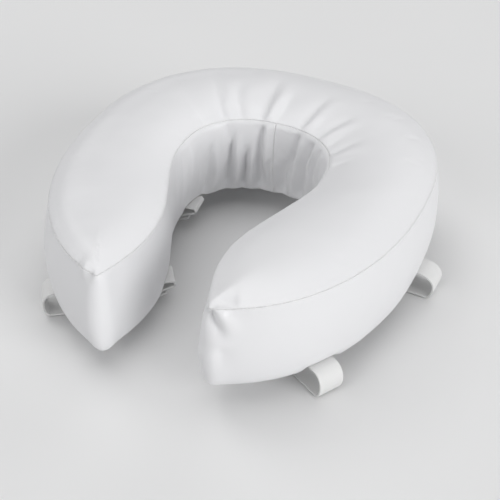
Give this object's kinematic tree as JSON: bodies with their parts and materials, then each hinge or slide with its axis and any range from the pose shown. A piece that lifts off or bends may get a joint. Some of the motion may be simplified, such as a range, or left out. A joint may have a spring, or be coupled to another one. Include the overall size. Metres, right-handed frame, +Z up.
{
  "type": "raised toilet seat",
  "caption": "Horseshoe raised toilet seat cushion: foam in a sewn vinyl cover, held on the seat ring by hook-and-loop straps.",
  "frame": {"origin": "in the flat underside, on the plane of symmetry, in the middle of the cushion behind the hole", "axes": "+Z up, out of the face that rests on the toilet seat ring; the horseshoe opens towards -Y, the user's front; +X to the right as seen from behind the opening, facing +Y"},
  "size_m": [0.3888, 0.3944, 0.1209],
  "materials": {
    "vinyl": "smooth white vinyl with a low satin sheen and a very fine grain",
    "foam": "open-cell cushion foam, matte",
    "webbing": "flat woven webbing, matte white",
    "loop_tape": "soft looped pile, matte white",
    "hook_tape": "dense moulded hooks, matte white",
    "thread": "twisted sewing thread, white"
  },
  "bodies": {
    "cushion": {"foam_core": "foam", "top_panel": "vinyl", "side_band": "vinyl", "bottom_panel": "vinyl", "strap_front_right_sewn_end": "webbing", "tab_front_right_sewn_end": "webbing", "strap_front_left_sewn_end": "webbing", "tab_front_left_sewn_end": "webbing", "strap_rear_right_sewn_end": "webbing", "tab_rear_right_sewn_end": "webbing", "strap_rear_left_sewn_end": "webbing", "tab_rear_left_sewn_end": "webbing"},
    "front_right_drop": {"strap_front_right_drop": "webbing"},
    "front_right_tail": {"strap_front_right_tail": "webbing", "strap_front_right_loop_tape": "loop_tape", "strap_front_right_stitching": "thread"},
    "front_right_tab": {"tab_front_right_flap": "webbing", "tab_front_right_hook_tape": "hook_tape", "tab_front_right_stitching": "thread"},
    "front_left_drop": {"strap_front_left_drop": "webbing"},
    "front_left_tail": {"strap_front_left_tail": "webbing", "strap_front_left_loop_tape": "loop_tape", "strap_front_left_stitching": "thread"},
    "front_left_tab": {"tab_front_left_flap": "webbing", "tab_front_left_hook_tape": "hook_tape", "tab_front_left_stitching": "thread"},
    "rear_right_drop": {"strap_rear_right_drop": "webbing"},
    "rear_right_tail": {"strap_rear_right_tail": "webbing", "strap_rear_right_loop_tape": "loop_tape", "strap_rear_right_stitching": "thread"},
    "rear_right_tab": {"tab_rear_right_flap": "webbing", "tab_rear_right_hook_tape": "hook_tape", "tab_rear_right_stitching": "thread"},
    "rear_left_drop": {"strap_rear_left_drop": "webbing"},
    "rear_left_tail": {"strap_rear_left_tail": "webbing", "strap_rear_left_loop_tape": "loop_tape", "strap_rear_left_stitching": "thread"},
    "rear_left_tab": {"tab_rear_left_flap": "webbing", "tab_rear_left_hook_tape": "hook_tape", "tab_rear_left_stitching": "thread"}
  },
  "joints": [
    {"name": "front_right_swing", "type": "hinge", "parent": "cushion", "child": "front_right_drop", "pos_m": [0.13406, -0.28295, 0.0024], "axis": [-0.5446, -0.8387, 0], "range_deg": [0, 85]},
    {"name": "front_right_peel", "type": "hinge", "parent": "front_right_drop", "child": "front_right_tail", "pos_m": [0.13767, -0.28529, -0.0225], "axis": [-0.5446, -0.8387, 0], "range_deg": [0, 85]},
    {"name": "front_right_tab_fall", "type": "hinge", "parent": "cushion", "child": "front_right_tab", "pos_m": [0.03932, -0.22142, -0.0021], "axis": [0.5446, 0.8387, 0], "range_deg": [0, 69]},
    {"name": "front_left_swing", "type": "hinge", "parent": "cushion", "child": "front_left_drop", "pos_m": [-0.13406, -0.28295, 0.0024], "axis": [-0.5446, 0.8387, 0], "range_deg": [0, 85]},
    {"name": "front_left_peel", "type": "hinge", "parent": "front_left_drop", "child": "front_left_tail", "pos_m": [-0.13767, -0.28529, -0.0225], "axis": [-0.5446, 0.8387, 0], "range_deg": [0, 85]},
    {"name": "front_left_tab_fall", "type": "hinge", "parent": "cushion", "child": "front_left_tab", "pos_m": [-0.03932, -0.22142, -0.0021], "axis": [0.5446, -0.8387, 0], "range_deg": [0, 69]},
    {"name": "rear_right_swing", "type": "hinge", "parent": "cushion", "child": "rear_right_drop", "pos_m": [0.17697, -0.11539, 0.0024], "axis": [-0.0872, -0.9962, 0], "range_deg": [0, 85]},
    {"name": "rear_right_peel", "type": "hinge", "parent": "rear_right_drop", "child": "rear_right_tail", "pos_m": [0.18623, -0.1162, -0.0225], "axis": [-0.0872, -0.9962, 0], "range_deg": [0, 85]},
    {"name": "rear_right_tab_fall", "type": "hinge", "parent": "cushion", "child": "rear_right_tab", "pos_m": [0.06461, -0.10556, -0.0021], "axis": [0.0872, 0.9962, 0], "range_deg": [0, 69]},
    {"name": "rear_left_swing", "type": "hinge", "parent": "cushion", "child": "rear_left_drop", "pos_m": [-0.17697, -0.11539, 0.0024], "axis": [-0.0872, 0.9962, 0], "range_deg": [0, 85]},
    {"name": "rear_left_peel", "type": "hinge", "parent": "rear_left_drop", "child": "rear_left_tail", "pos_m": [-0.18623, -0.1162, -0.0225], "axis": [-0.0872, 0.9962, 0], "range_deg": [0, 85]},
    {"name": "rear_left_tab_fall", "type": "hinge", "parent": "cushion", "child": "rear_left_tab", "pos_m": [-0.06461, -0.10556, -0.0021], "axis": [0.0872, -0.9962, 0], "range_deg": [0, 69]}
  ],
  "couplings": [
    {"joint": "front_right_tab_fall", "follows": "front_right_peel", "ratio": 0.8},
    {"joint": "front_left_tab_fall", "follows": "front_left_peel", "ratio": 0.8},
    {"joint": "rear_right_tab_fall", "follows": "rear_right_peel", "ratio": 0.8},
    {"joint": "rear_left_tab_fall", "follows": "rear_left_peel", "ratio": 0.8}
  ]
}
